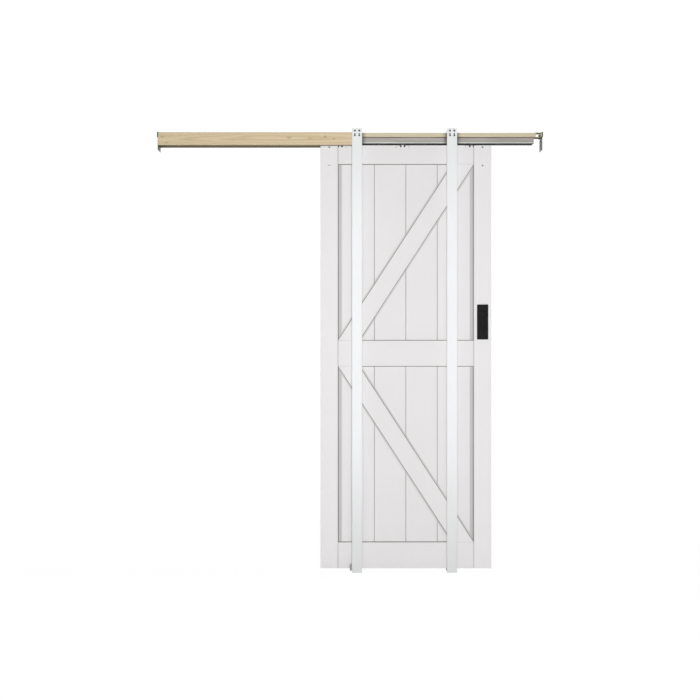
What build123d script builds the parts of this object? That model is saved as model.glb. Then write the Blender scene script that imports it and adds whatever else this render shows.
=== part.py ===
from build123d import *
from math import sqrt
import os

# A pocket door in its frame kit. Millimetres, +X towards the pocket, -Y the front, +Z up.
# The origin is on the floor, halfway along the header and halfway through its depth.

os.makedirs("parts", exist_ok=True)

# Door leaf
door_width = 863.6
door_height = 2133.6
door_thickness = 35.0
floor_gap = 18.3
stile_width = 88.9
top_rail_height = 92.2
middle_rail_height = 127.8
bottom_rail_height = 130.5
middle_rail_rise = 1085.2  # from the leaf's bottom edge to the rail's centre
panel_thickness = 18.0
panel_overlap = 10.0  # how far tongues and panels reach into the grooves
joint_bevel = 1.8
brace_width = 88.9
brace_bevel = 1.0
board_joint_spacing = 159.0
board_joint_width = 4.4
board_joint_depth = 2.6

# Strap holes at the leaf's top corners
strap_hole_radius = 4.5
strap_hole_drop = 8.0
strap_hole_spacing = 92.0

# Flush pulls
pull_width = 56.5
pull_height = 177.0
pull_corner = 4.0
pull_flange = 1.6
pull_rim_width = 2.2
pull_rim_rise = 0.9
pull_recess_width = 30.0
pull_recess_height = 119.0
pull_recess_corner = 10.0
pull_recess_depth = 12.0  # from the flange's front face
pull_wall = 1.8
pull_rise = 1243.5  # from the leaf's bottom edge to the pull's centre
pull_screw_edge = 13.0
mortise_clearance = 0.25

# Header
header_length = 1942.0  # over both end brackets
frame_depth = 89.0
header_board_depth = 51.0
header_board_thickness = 21.0
header_board_end_gap = 32.5
nailer_height = 64.5
track_gap = 12.1  # from the leaf's top edge to the track
track_width = 38.0
track_height = 31.0
track_wall = 2.0
track_lip = 2.5
track_slot = 12.0
track_foot_height = 6.0
track_foot_rise = 1.2
rail_bead_width = 4.0
rail_bead_rise = 1.2
rail_spacing = 23.0
track_end_gap = 0.5

# End brackets
bracket_sheet = 1.5
bracket_height = 89.8
bracket_joggle = 3.5
bracket_joggle_height = 5.0
bracket_flange = 10.0
bracket_tongue = 41.0
bracket_hole_radius = 2.5
bracket_hole_spacing_y = 60.0
bracket_hole_spacing_z = 38.0

# Split studs
pocket_mouth = 10.0  # from the header's middle to the entry studs
drawn_out = 159.5  # how far the leaf stands out of the pocket
stud_bay = 427.5
stud_width = 50.8
stud_sheet = 1.2
stud_bend = 2.4
stud_rise = 20.0  # above the header board
stud_hole_radius = 2.3
stud_hole_columns = 21.6
stud_hole_heights = (-16.0, -8.0, 8.0)  # from the header board's top edge

# Floor plates and door guides
plate_sheet = 2.0
plate_side_clearance = 0.3
plate_ear = 45.0
plate_hole_radius = 2.6
plate_hole_spacing = 30.0
guide_thickness = 11.0
guide_bottom = 11.0
guide_height = 32.0
guide_depth = 24.0
guide_nose = 5.0
guide_top_bevel = 3.7
guide_clearance = 1.0
guide_screw_drop = 8.0

# Hangers
trolley_inset = 99.5  # from the leaf's edges to the outer hangers
middle_hanger_offset = -16.0  # from the leaf's centre
hanger_sheet = 2.5
hanger_width = 25.0
hanger_length = 72.0
hanger_bridge_rise = 9.5
hanger_bridge_top = 17.0
hanger_bridge_base = 26.0
hanger_screw_spacing = 56.0
lock_cap = 1.0
lock_overhang = 2.2
bolt_radius = 4.0
bolt_head_flats = 11.0
bolt_head_height = 4.0
bolt_slot_clearance = 0.2
bolt_end_rise = 1.5
bolt_end_bevel = 0.8

# Trolleys
wheel_radius = 10.0  # where it runs
wheel_flange_rise = 1.0
wheel_width = 8.0
wheel_groove_clearance = 0.3
wheel_running_gap = 0.2
wheel_spacing = 40.0
axle_radius = 2.0
axle_running_clearance = 0.05
axle_head_radius = 3.2
axle_head = 0.7
axle_head_gap = 0.1
trolley_length = 62.0
trolley_arm = 14.0
trolley_boss_length = 15.0
trolley_boss_width = 25.0
trolley_height = 11.0
trolley_corner = 3.0
trolley_nose = 5.0
trolley_bevel = 0.75

# Track stops
stop_length = 30.0
stop_height = 24.0
stop_width = 26.0
stop_chamfer = 2.0
bumper_length = 6.0
bumper_radius = 7.0
bumper_gap = 0.5

# Fasteners
screw_radius = 2.0
screw_head_radius = 4.0
screw_head_height = 2.5
sunk_head_rim = 0.2  # the straight share of a sunk head's height, above its cone
track_screw_length = 20.0
track_screw_spacing = 400.0
track_screw_count = 5
nail_radius = 1.5
nail_head_radius = 2.2
nail_head_height = 1.0
nail_length = 40.0
nail_end_margin = 90.0
nail_columns = 4
stud_screw_length = 34.0
guide_screw_bite = 4.0
hanger_screw_length = 24.0
stop_screw_bite = 15.0
pull_screw_length = 11.0
pull_screw_radius = 1.6
pull_screw_head_radius = 3.4

# Levels and edges that follow from the sizes above
leaf_top = floor_gap + door_height
leaf_left = pocket_mouth - drawn_out
leaf_right = leaf_left + door_width
leaf_centre = (leaf_left + leaf_right) / 2
track_bottom = leaf_top + track_gap
track_top = track_bottom + track_height
board_top = track_top + header_board_thickness
board_end = header_length / 2 - bracket_sheet - header_board_end_gap
tongue_tip = header_length / 2 - bracket_sheet - bracket_tongue
track_end = tongue_tip - track_end_gap
tab_outer = header_length / 2 - bracket_joggle
tab_inner = tab_outer - bracket_sheet
flange_end = header_length / 2 - bracket_sheet - bracket_flange
cup_bottom = track_top - bracket_sheet
frame_face = frame_depth / 2
entry_stud_centre = pocket_mouth + stud_width / 2
mid_stud_centre = entry_stud_centre + stud_width + stud_bay
rail_level = track_bottom + track_lip + rail_bead_rise
axle_level = rail_level + wheel_running_gap + wheel_radius
opening_width = door_width - 2 * stile_width
middle_rail_top = floor_gap + middle_rail_rise + middle_rail_height / 2
middle_rail_bottom = middle_rail_top - middle_rail_height
top_rail_bottom = leaf_top - top_rail_height
bottom_rail_top = floor_gap + bottom_rail_height
pull_x = leaf_right - stile_width / 2
pull_z = floor_gap + pull_rise
hangers = {
    "left": leaf_left + trolley_inset,
    "middle": leaf_centre + middle_hanger_offset,
    "right": leaf_right - trolley_inset,
}
travel_in = drawn_out  # until the leaf's edge is at the pocket's mouth
travel_out = leaf_right - pocket_mouth - stud_width  # until its far edge is level with the entry studs
stop_tips = (
    (hangers["left"] - trolley_length / 2 - travel_out - bumper_gap, -1),
    (hangers["right"] + trolley_length / 2 + travel_in + bumper_gap, 1),
)
wood_screw = dict(
    radius=screw_radius,
    head_radius=screw_head_radius,
    head_height=screw_head_height,
    sunk=False,
)


def save(piece, label):
    """Labels a finished piece and writes it to its own file."""
    piece.part.label = label
    export_step(piece.part, f"parts/{label}.step")


def facing(y):
    """A plane across the depth at y: sketch x is +X, sketch y is +Z, and it extrudes towards the front."""
    return Plane(origin=(0, y, 0), x_dir=(1, 0, 0), z_dir=(0, -1, 0))


def section(x):
    """A plane across the length at x: sketch x is +Y, sketch y is +Z, and it extrudes towards +X."""
    return Plane(origin=(x, 0, 0), x_dir=(0, 1, 0), z_dir=(1, 0, 0))


def save_twin(piece, label):
    """Writes the mirror image of a front piece as its twin at the back."""
    with BuildPart() as twin:
        mirror(piece.part, about=Plane.XZ)
    save(twin, label)


def fastener(length, radius, head_radius, head_height, sunk):
    """A screw or nail along -Z with its head's top at the origin: a sunk head tapers down to the shank."""
    shoulder = sunk_head_rim * head_height if sunk else head_height
    with BuildPart(mode=Mode.PRIVATE) as one:
        with BuildSketch(Plane.XZ):
            with BuildLine():
                Polyline(
                    (0, 0),
                    (head_radius, 0),
                    (head_radius, -shoulder),
                    (radius, -head_height),
                    (radius, -length + 2 * radius),
                    (0, -length),
                    close=True,
                )
            make_face()
        revolve(axis=Axis.Z)
    return one.part


def group_of(places, **form):
    """Identical fasteners as one group, each driven from its own place."""
    one = fastener(**form)
    with BuildPart(mode=Mode.PRIVATE) as group:
        for place in places:
            with Locations(place):
                add(one)
    return group.part


def driven(x, y, z, direction):
    """The place of a fastener whose head's top is at x, y, z and whose point lies along direction."""
    return Plane(origin=(x, y, z), z_dir=tuple(-c for c in direction)).location


def track_screws():
    """Screws up through the track's ceiling, heads inside the rail."""
    level = track_top - track_wall - screw_head_height
    middle = (track_screw_count - 1) / 2
    spots = [(n - middle) * track_screw_spacing for n in range(track_screw_count)]
    places = [driven(x, 0, level, (0, 0, 1)) for x in spots]
    return group_of(places, length=track_screw_length, **wood_screw)


def stop_screws():
    """Screws up through the stops and the track's ceiling."""
    level = track_top - track_wall - stop_height - screw_head_height
    middle = bumper_length + stop_length / 2
    places = [driven(tip + side * middle, 0, level, (0, 0, 1)) for tip, side in stop_tips]
    return group_of(places, length=screw_head_height + stop_height + stop_screw_bite, **wood_screw)


def nailer_nails():
    """Nails through the nailers into the header board's edges."""
    first, last = -tab_inner + nail_end_margin, pocket_mouth - nail_end_margin
    level = board_top - header_board_thickness / 2
    places = []
    for n in range(nail_columns):
        x = first + n * (last - first) / (nail_columns - 1)
        places += [driven(x, side * frame_face, level, (0, -side, 0)) for side in (-1, 1)]
    return group_of(
        places,
        length=nail_length,
        radius=nail_radius,
        head_radius=nail_head_radius,
        head_height=nail_head_height,
        sunk=True,
    )


def stud_screws():
    """Screws through the lowest holes in each stud's top, heads flush, into the board's edges."""
    level = board_top + stud_hole_heights[0]
    places = []
    for centre in (entry_stud_centre, mid_stud_centre):
        for x in (centre - stud_hole_columns / 2, centre + stud_hole_columns / 2):
            places += [driven(x, side * frame_face, level, (0, -side, 0)) for side in (-1, 1)]
    return group_of(
        places,
        length=stud_screw_length,
        radius=screw_radius,
        head_radius=screw_head_radius,
        head_height=screw_head_height,
        sunk=True,
    )


def guide_screws():
    """Screws through the guides into the entry studs' edges."""
    x = pocket_mouth - guide_thickness
    y = (frame_face + header_board_depth / 2) / 2
    z = guide_bottom + guide_height - guide_screw_drop
    places = [driven(x, side * y, z, (1, 0, 0)) for side in (-1, 1)]
    return group_of(
        places,
        length=guide_thickness + guide_screw_bite,
        radius=screw_radius,
        head_radius=screw_head_radius,
        head_height=screw_head_height,
        sunk=True,
    )


def hanger_screws():
    """Screws down through the hanger plates into the leaf's top edge."""
    level = leaf_top + hanger_sheet + screw_head_height
    reach = hanger_screw_spacing / 2
    places = [driven(x + dx, 0, level, (0, 0, -1)) for x in hangers.values() for dx in (-reach, reach)]
    return group_of(places, length=hanger_screw_length, **wood_screw)


def flush_pull_screws():
    """Screws with sunk heads at the ends of each pull."""
    face = door_thickness / 2 + pull_flange
    places = [
        driven(pull_x, side * face, pull_z + end * (pull_height / 2 - pull_screw_edge), (0, -side, 0))
        for side in (-1, 1)
        for end in (-1, 1)
    ]
    return group_of(
        places,
        length=pull_screw_length,
        radius=pull_screw_radius,
        head_radius=pull_screw_head_radius,
        head_height=pull_flange,
        sunk=True,
    )


def cut_for(*groups):
    """Cuts the holes that groups of fasteners sit in out of the piece being made."""
    for group in groups:
        add(fasteners[group], mode=Mode.SUBTRACT)


# The leaf's stiles, rails and panels


def cut_groove(x, depth):
    """Cuts the panel groove of a stile along its whole height, from its inner edge at x towards depth."""
    with BuildSketch(Plane.XY.offset(floor_gap)) as groove:
        with Locations((x + depth / 2, 0)):
            Rectangle(abs(depth), panel_thickness)
    extrude(groove.sketch, amount=door_height, mode=Mode.SUBTRACT)


def cut_strap_holes(x):
    """Cuts the two holes for a strap through a stile."""
    with BuildSketch(facing(0)) as holes:
        for n in range(2):
            with Locations((x, leaf_top - strap_hole_drop - n * strap_hole_spacing)):
                Circle(strap_hole_radius)
    extrude(holes.sketch, amount=door_thickness, both=True, mode=Mode.SUBTRACT)


def cut_pull_mortise(side):
    """Cuts the pocket for one pull's pan."""
    face = side * door_thickness / 2
    depth = pull_recess_depth - pull_flange + pull_wall + mortise_clearance
    grown = 2 * (pull_wall + mortise_clearance)
    with BuildSketch(facing(face)) as pocket:
        with Locations((pull_x, pull_z)):
            RectangleRounded(
                pull_recess_width + grown,
                pull_recess_height + grown,
                pull_recess_corner + grown / 2,
            )
    extrude(pocket.sketch, amount=side * depth, mode=Mode.SUBTRACT)


def make_stile(label, x, inward, mortises):
    """A stile centred at x, its inner edge on the inward side."""
    with BuildPart() as stile:
        with BuildSketch(Plane.XY.offset(floor_gap)):
            with Locations((x, 0)):
                Rectangle(stile_width, door_thickness)
        extrude(amount=door_height)
        chamfer(stile.edges().filter_by(Axis.Z), joint_bevel)
        cut_groove(x + inward * stile_width / 2, -inward * panel_overlap)
        cut_strap_holes(x)
        if mortises:
            for side in (-1, 1):
                cut_pull_mortise(side)
            cut_for("flush_pull_screws")
        cut_for("hanger_screws")
    save(stile, label)


def make_rail(label, z_low, z_high, grooves):
    """A rail with stub tongues in the stiles, and a panel groove inwards from each edge in grooves."""
    with BuildPart() as rail:
        with BuildSketch(Plane.XY.offset(z_low)):
            with Locations((leaf_centre, 0)):
                Rectangle(opening_width, door_thickness)
        extrude(amount=z_high - z_low)
        ends = rail.edges().filter_by(Axis.Z)
        chamfer(ends, joint_bevel)
        with BuildSketch(Plane.XY.offset(z_low)):
            with Locations((leaf_centre, 0)):
                Rectangle(opening_width + 2 * panel_overlap, panel_thickness)
        extrude(amount=z_high - z_low)
        for edge, inwards in grooves:
            with BuildSketch(section(leaf_centre)):
                with Locations((0, edge + inwards * panel_overlap / 2)):
                    Rectangle(panel_thickness, panel_overlap)
            extrude(amount=door_width, both=True, mode=Mode.SUBTRACT)
        if z_high == leaf_top:
            cut_for("hanger_screws")
    save(rail, label)


def make_panel(label, z_low, z_high):
    """A panel with its edges in the grooves round it, and the joints of its boards on both faces."""
    low, high = z_low - panel_overlap, z_high + panel_overlap
    with BuildPart() as panel:
        with BuildSketch(Plane.XY.offset(low)):
            with Locations((leaf_centre, 0)):
                Rectangle(opening_width + 2 * panel_overlap, panel_thickness)
            for n in (-1, 0, 1):
                for side in (-1, 1):
                    x, y = leaf_centre + n * board_joint_spacing, side * panel_thickness / 2
                    with BuildLine():
                        Polyline(
                            (x - board_joint_width / 2, y),
                            (x, y - side * board_joint_depth),
                            (x + board_joint_width / 2, y),
                            close=True,
                        )
                    make_face(mode=Mode.SUBTRACT)
        extrude(amount=high - low)
    save(panel, label)


def brace_foot(width, height):
    """The level width of a brace that fills an opening corner to corner and is brace_width across.

    With h the level width, w the width across, W and H the opening: w / h = H / hypot(H, W - h).
    """
    w = brace_width
    a = height**2 - w**2
    b = 2 * w**2 * width
    c = -(w**2) * (width**2 + height**2)
    return (-b + sqrt(b**2 - 4 * a * c)) / (2 * a)


def make_brace(label, z_low, z_high, leans_right):
    """A pair of braces, flush with the stiles on each face, from one corner of an opening to the other."""
    foot = brace_foot(opening_width, z_high - z_low)
    left, right = leaf_left + stile_width, leaf_right - stile_width
    start, end = (z_low, z_high) if leans_right else (z_high, z_low)
    with BuildPart() as brace:
        with BuildSketch(facing(-panel_thickness / 2)):
            with BuildLine():
                Polyline((left, start), (left + foot, start), (right, end), (right - foot, end), close=True)
            make_face()
        extrude(amount=(door_thickness - panel_thickness) / 2)
        front = brace.faces().sort_by(Axis.Y)[0]
        chamfer(front.edges(), brace_bevel)
    save(brace, f"{label}_front")
    save_twin(brace, f"{label}_back")


# The flush pulls


def make_pull():
    """The flush pulls: a flange with a raised rim on the leaf's face, and the pan behind the recess."""
    face = -door_thickness / 2
    with BuildPart() as pull:
        with BuildSketch(facing(face)):
            with Locations((pull_x, pull_z)):
                RectangleRounded(pull_width, pull_height, pull_corner)
        extrude(amount=pull_flange)
        with BuildSketch(facing(face - pull_flange)):
            with Locations((pull_x, pull_z)):
                RectangleRounded(pull_width, pull_height, pull_corner)
                RectangleRounded(
                    pull_width - 2 * pull_rim_width,
                    pull_height - 2 * pull_rim_width,
                    pull_corner - pull_rim_width / 2,
                    mode=Mode.SUBTRACT,
                )
        extrude(amount=pull_rim_rise)
        with BuildSketch(facing(face)):
            with Locations((pull_x, pull_z)):
                RectangleRounded(
                    pull_recess_width + 2 * pull_wall,
                    pull_recess_height + 2 * pull_wall,
                    pull_recess_corner + pull_wall,
                )
        extrude(amount=-(pull_recess_depth - pull_flange + pull_wall))
        with BuildSketch(facing(face - pull_flange)):
            with Locations((pull_x, pull_z)):
                RectangleRounded(pull_recess_width, pull_recess_height, pull_recess_corner)
        extrude(amount=-pull_recess_depth, mode=Mode.SUBTRACT)
        cut_for("flush_pull_screws")
    save(pull, "flush_pull_front")
    save_twin(pull, "flush_pull_back")


# The header and its track


def make_header_board():
    """The board that the track hangs from."""
    with BuildPart() as board:
        with BuildSketch(section(-board_end)):
            with Locations((0, board_top - header_board_thickness / 2)):
                Rectangle(header_board_depth, header_board_thickness)
        extrude(amount=2 * board_end)
        cut_for("track_screws", "stop_screws", "nailer_nails", "stud_screws")
    save(board, "header_board")


def make_nailers():
    """The boards along the header's edges, with rebates for the left end bracket's flanges."""
    depth = (frame_depth - header_board_depth) / 2
    with BuildPart() as nailer:
        with BuildSketch(section(-tab_inner)):
            with Locations((-header_board_depth / 2 - depth / 2, board_top - nailer_height / 2)):
                Rectangle(depth, nailer_height)
        extrude(amount=tab_inner + pocket_mouth)
        with BuildSketch(section(-tab_inner)):
            with Locations((-frame_face + bracket_sheet / 2, (board_top + cup_bottom) / 2)):
                Rectangle(bracket_sheet, board_top - cup_bottom)
        extrude(amount=tab_inner - flange_end, mode=Mode.SUBTRACT)
        cut_for("nailer_nails")
    save(nailer, "header_nailer_front")
    save_twin(nailer, "header_nailer_back")


def make_track():
    """The box rail: a slot along its underside between two lips, each with a bead for the wheels."""
    half, foot = track_width / 2, track_width / 2 + track_foot_rise
    inner = half - track_wall
    with BuildPart() as track:
        with BuildSketch(section(-track_end)):
            with BuildLine():
                right = Polyline(
                    (0, track_top),
                    (half, track_top),
                    (half, track_bottom + track_foot_height),
                    (foot, track_bottom + track_foot_height - track_foot_rise),
                    (foot, track_bottom),
                    (track_slot / 2, track_bottom),
                    (track_slot / 2, track_bottom + track_lip),
                    (rail_spacing / 2 - rail_bead_width / 2, track_bottom + track_lip),
                )
                bead = ThreePointArc(
                    right @ 1,
                    (rail_spacing / 2, rail_level),
                    (rail_spacing / 2 + rail_bead_width / 2, track_bottom + track_lip),
                )
                Polyline(
                    bead @ 1,
                    (inner, track_bottom + track_lip),
                    (inner, track_top - track_wall),
                    (0, track_top - track_wall),
                )
                mirror(about=Plane.YZ)
            make_face()
        extrude(amount=2 * track_end)
        cut_for("track_screws", "stop_screws")
    save(track, "track")


def make_end_bracket(label, side):
    """A folded end bracket: cup plate, joggle and nailing tab, with flanges and tongues round the cup."""
    top = board_top + bracket_sheet
    outer = side * header_length / 2
    with BuildPart() as bracket:
        with BuildSketch(facing(frame_face)):
            with BuildLine():
                Polyline(
                    (outer, top),
                    (outer, cup_bottom),
                    (side * tab_outer, cup_bottom - bracket_joggle_height),
                    (side * tab_outer, top - bracket_height),
                    (side * tab_inner, top - bracket_height),
                    (side * tab_inner, cup_bottom - bracket_joggle_height),
                    (outer - side * bracket_sheet, cup_bottom),
                    (outer - side * bracket_sheet, top),
                    close=True,
                )
            make_face()
        extrude(amount=frame_depth)
        with BuildSketch(section(outer)):
            for level in (top - bracket_sheet / 2, cup_bottom + bracket_sheet / 2):
                with Locations((0, level)):
                    Rectangle(header_board_depth, bracket_sheet)
        extrude(amount=-side * (bracket_sheet + bracket_tongue))
        with BuildSketch(section(outer)):
            for face in (-1, 1):
                with Locations((face * (frame_face - bracket_sheet / 2), (top + cup_bottom) / 2)):
                    Rectangle(bracket_sheet, top - cup_bottom)
        extrude(amount=-side * (bracket_sheet + bracket_flange))
        tab_bottom, tab_top = top - bracket_height, cup_bottom - bracket_joggle_height
        with BuildSketch(section(side * tab_outer)):
            with Locations((0, (tab_bottom + tab_top) / 2)):
                with GridLocations(bracket_hole_spacing_y, bracket_hole_spacing_z, 2, 2):
                    Circle(bracket_hole_radius)
        extrude(amount=-side * bracket_sheet, mode=Mode.SUBTRACT)
    save(bracket, label)


# The split studs and what stands at their feet


def make_stud(label, x):
    """A front stud and its twin: a sheet channel, web outwards, with the fixing holes near its top."""
    depth = (frame_depth - header_board_depth) / 2
    with BuildPart() as stud:
        with BuildSketch():
            with Locations((x, -frame_face + depth / 2)):
                Rectangle(stud_width, depth)
            with Locations((x, -frame_face + stud_sheet + depth / 2)):
                Rectangle(stud_width - 2 * stud_sheet, depth, mode=Mode.SUBTRACT)
            fillet(vertices().group_by(Axis.Y)[1], stud_bend - stud_sheet)
            fillet(vertices().group_by(Axis.Y)[0], stud_bend)
        extrude(amount=board_top + stud_rise)
        with BuildSketch(facing(-frame_face + stud_sheet)):
            for height in stud_hole_heights:
                with Locations((x, board_top + height)):
                    with GridLocations(stud_hole_columns, 0, 2, 1):
                        Circle(stud_hole_radius)
        extrude(amount=stud_sheet, mode=Mode.SUBTRACT)
        cut_for("guide_screws", "stud_screws")
    save(stud, f"{label}_front")
    save_twin(stud, f"{label}_back")


def make_floor_plate(label, x):
    """A strip on the floor between two studs, with an ear up inside each channel."""
    inside = frame_face - stud_sheet
    width = stud_width - 2 * stud_bend - 2 * plate_side_clearance
    with BuildPart() as plate:
        with BuildSketch(section(x - width / 2)):
            with BuildLine():
                Polyline(
                    (-inside, plate_ear),
                    (-inside, 0),
                    (inside, 0),
                    (inside, plate_ear),
                    (inside - plate_sheet, plate_ear),
                    (inside - plate_sheet, plate_sheet),
                    (-inside + plate_sheet, plate_sheet),
                    (-inside + plate_sheet, plate_ear),
                    close=True,
                )
            make_face()
        extrude(amount=width)
        with BuildSketch():
            with Locations((x, 0)):
                with GridLocations(0, plate_hole_spacing, 1, 2):
                    Circle(plate_hole_radius)
        extrude(amount=plate_sheet, mode=Mode.SUBTRACT)
    save(plate, label)


def make_guides():
    """The guides on the entry studs' edges, with a rounded nose beside the leaf's face."""
    nose = -door_thickness / 2 - guide_clearance
    heel = nose - guide_depth
    with BuildPart() as guide:
        with BuildSketch(Plane.XY.offset(guide_bottom)):
            with Locations((pocket_mouth - guide_thickness / 2, (nose + heel) / 2)):
                Rectangle(guide_thickness, guide_depth)
            fillet(vertices().group_by(Axis.Y)[-1], guide_nose)
        extrude(amount=guide_height)
        top = guide.faces().sort_by(Axis.Z)[-1]
        chamfer(top.edges().sort_by(Axis.X)[0], guide_top_bevel)
        cut_for("guide_screws")
    save(guide, "door_guide_front")
    save_twin(guide, "door_guide_back")


# The hangers on the leaf's top edge


def make_hanger_plate(label, x):
    """A folded strip with a bridge over the bolt's head, slotted from the front for the bolt."""
    low, high = leaf_top, leaf_top + hanger_bridge_rise
    end, base, crown = hanger_length / 2, hanger_bridge_base / 2, hanger_bridge_top / 2
    with BuildPart() as plate:
        with BuildSketch(facing(hanger_width / 2)):
            with BuildLine():
                Polyline(
                    (x - end, low),
                    (x - base + hanger_sheet, low),
                    (x - crown + hanger_sheet / 2, high - hanger_sheet),
                    (x + crown - hanger_sheet / 2, high - hanger_sheet),
                    (x + base - hanger_sheet, low),
                    (x + end, low),
                    (x + end, low + hanger_sheet),
                    (x + base, low + hanger_sheet),
                    (x + crown, high),
                    (x - crown, high),
                    (x - base, low + hanger_sheet),
                    (x - end, low + hanger_sheet),
                    close=True,
                )
            make_face()
        extrude(amount=hanger_width)
        slot = bolt_radius + bolt_slot_clearance
        with BuildSketch(Plane.XY.offset(high)):
            with Locations((x, 0)):
                Circle(slot)
            with Locations((x, -hanger_width / 4)):
                Rectangle(2 * slot, hanger_width / 2)
        extrude(amount=-hanger_sheet, mode=Mode.SUBTRACT)
        cut_for("hanger_screws")
    save(plate, label)


def make_hanger_lock(label, x):
    """The clip that shuts the plate's slot in front of the bolt."""
    crown = leaf_top + hanger_bridge_rise
    front, back = -hanger_width / 2, -bolt_radius - bolt_slot_clearance
    with BuildPart() as lock:
        with BuildSketch(Plane.XY.offset(crown - hanger_sheet)):
            with Locations((x, (front + back) / 2)):
                Rectangle(2 * bolt_radius, back - front)
        extrude(amount=hanger_sheet)
        with BuildSketch(Plane.XY.offset(crown)):
            with Locations((x, (front + back) / 2)):
                Rectangle(2 * bolt_radius + 2 * lock_overhang, back - front)
        extrude(amount=lock_cap)
    save(lock, label)


def make_hanger_bolt(label, x):
    """The bolt that carries the leaf: its head under the bridge, its thread in the trolley."""
    seat = leaf_top + hanger_bridge_rise - hanger_sheet
    tip = axle_level + trolley_height / 2 + bolt_end_rise
    with BuildPart() as bolt:
        with BuildSketch(Plane.XY.offset(seat - bolt_head_height)):
            with Locations((x, 0)):
                RegularPolygon(bolt_head_flats / 2, 6, major_radius=False)
        extrude(amount=bolt_head_height)
        with BuildSketch(Plane.XY.offset(seat)):
            with Locations((x, 0)):
                Circle(bolt_radius)
        extrude(amount=tip - seat)
        chamfer(bolt.faces().sort_by(Axis.Z)[-1].edges(), bolt_end_bevel)
    save(bolt, label)


def make_trolley(label, x):
    """A cast trolley: a boss round the bolt between two arms, with a bore through each arm for an axle."""
    with BuildPart() as trolley:
        with BuildSketch(Plane.XY.offset(axle_level - trolley_height / 2)):
            with Locations((x, 0)):
                Rectangle(trolley_length, trolley_arm)
            fillet(vertices(), trolley_nose)
            with Locations((x, 0)):
                Rectangle(trolley_boss_length, trolley_boss_width)
            boss = vertices().group_by(Axis.Y)
            fillet(boss[0] + boss[-1], trolley_corner)
        extrude(amount=trolley_height)
        chamfer(trolley.faces().sort_by(Axis.Z)[-1].edges(), trolley_bevel)
        with BuildSketch(Plane.XY.offset(axle_level)):
            with Locations((x, 0)):
                Circle(bolt_radius)
        extrude(amount=trolley_height, both=True, mode=Mode.SUBTRACT)
        with BuildSketch(facing(0)):
            with Locations((x, axle_level)):
                with GridLocations(wheel_spacing, 0, 2, 1):
                    Circle(axle_radius)
        extrude(amount=trolley_boss_width, both=True, mode=Mode.SUBTRACT)
    save(trolley, label)


def make_axles(label, x):
    """The two fixed axles of a trolley, each with a head outside its wheels."""
    shoulder = rail_spacing / 2 + wheel_width / 2 + axle_head_gap
    with BuildPart() as axles:
        for end in (-1, 1):
            with BuildSketch(facing(shoulder)):
                with Locations((x + end * wheel_spacing / 2, axle_level)):
                    Circle(axle_radius)
            extrude(amount=2 * shoulder)
            for side in (-1, 1):
                with BuildSketch(facing(side * shoulder)):
                    with Locations((x + end * wheel_spacing / 2, axle_level)):
                        Circle(axle_head_radius)
                extrude(amount=-side * axle_head)
    save(axles, label)


def make_wheels(label, x):
    """The two wheels on one axle, each with a round groove that runs on its bead."""
    bore = axle_radius + axle_running_clearance
    rim = wheel_radius + wheel_flange_rise
    groove = rail_bead_width / 2 + wheel_groove_clearance
    half = wheel_width / 2
    with BuildPart() as wheels:
        for side in (-1, 1):
            centre = (x, side * rail_spacing / 2, axle_level)
            with BuildSketch(Plane(origin=centre, x_dir=(0, 1, 0), z_dir=(1, 0, 0))):
                with BuildLine():
                    Polyline(
                        (-groove, rim),
                        (-half, rim),
                        (-half, bore),
                        (half, bore),
                        (half, rim),
                        (groove, rim),
                    )
                    ThreePointArc((-groove, rim), (0, wheel_radius), (groove, rim))
                make_face()
            revolve(axis=Axis((x, 0, axle_level), (0, 1, 0)))
    save(wheels, label)


# The stops inside the track


def make_stops():
    """A block screwed up into each end of the track."""
    ceiling = track_top - track_wall
    for (tip, side), name in zip(stop_tips, ("left", "right")):
        with BuildPart() as stop:
            with BuildSketch(section(tip + side * bumper_length)):
                with Locations((0, ceiling - stop_height / 2)):
                    Rectangle(stop_width, stop_height)
            extrude(amount=side * stop_length)
            chamfer(stop.faces().sort_by(Axis.Z)[0].edges().filter_by(Axis.X), stop_chamfer)
            cut_for("stop_screws")
        save(stop, f"{name}_track_stop")


def make_bumpers():
    """The rubber buttons on the stops' faces, towards the trolleys."""
    with BuildPart() as bumpers:
        for tip, side in stop_tips:
            with BuildSketch(section(tip)):
                with Locations((0, axle_level)):
                    Circle(bumper_radius)
            extrude(amount=side * bumper_length)
    save(bumpers, "stop_bumpers")


fasteners = {
    "track_screws": track_screws(),
    "stop_screws": stop_screws(),
    "nailer_nails": nailer_nails(),
    "stud_screws": stud_screws(),
    "guide_screws": guide_screws(),
    "hanger_screws": hanger_screws(),
    "flush_pull_screws": flush_pull_screws(),
}
make_stile("left_stile", leaf_left + stile_width / 2, 1, False)
make_stile("right_stile", pull_x, -1, True)
make_rail("top_rail", top_rail_bottom, leaf_top, [(top_rail_bottom, 1)])
make_rail(
    "middle_rail",
    middle_rail_bottom,
    middle_rail_top,
    [(middle_rail_bottom, 1), (middle_rail_top, -1)],
)
make_rail("bottom_rail", floor_gap, bottom_rail_top, [(bottom_rail_top, -1)])
make_panel("upper_panel", middle_rail_top, top_rail_bottom)
make_panel("lower_panel", bottom_rail_top, middle_rail_bottom)
make_brace("upper_brace", middle_rail_top, top_rail_bottom, True)
make_brace("lower_brace", bottom_rail_top, middle_rail_bottom, False)
make_pull()
make_header_board()
make_nailers()
make_track()
make_end_bracket("left_end_bracket", -1)
make_end_bracket("right_end_bracket", 1)
make_stud("entry_stud", entry_stud_centre)
make_stud("mid_stud", mid_stud_centre)
make_floor_plate("entry_floor_plate", entry_stud_centre)
make_floor_plate("mid_floor_plate", mid_stud_centre)
make_guides()
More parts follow.
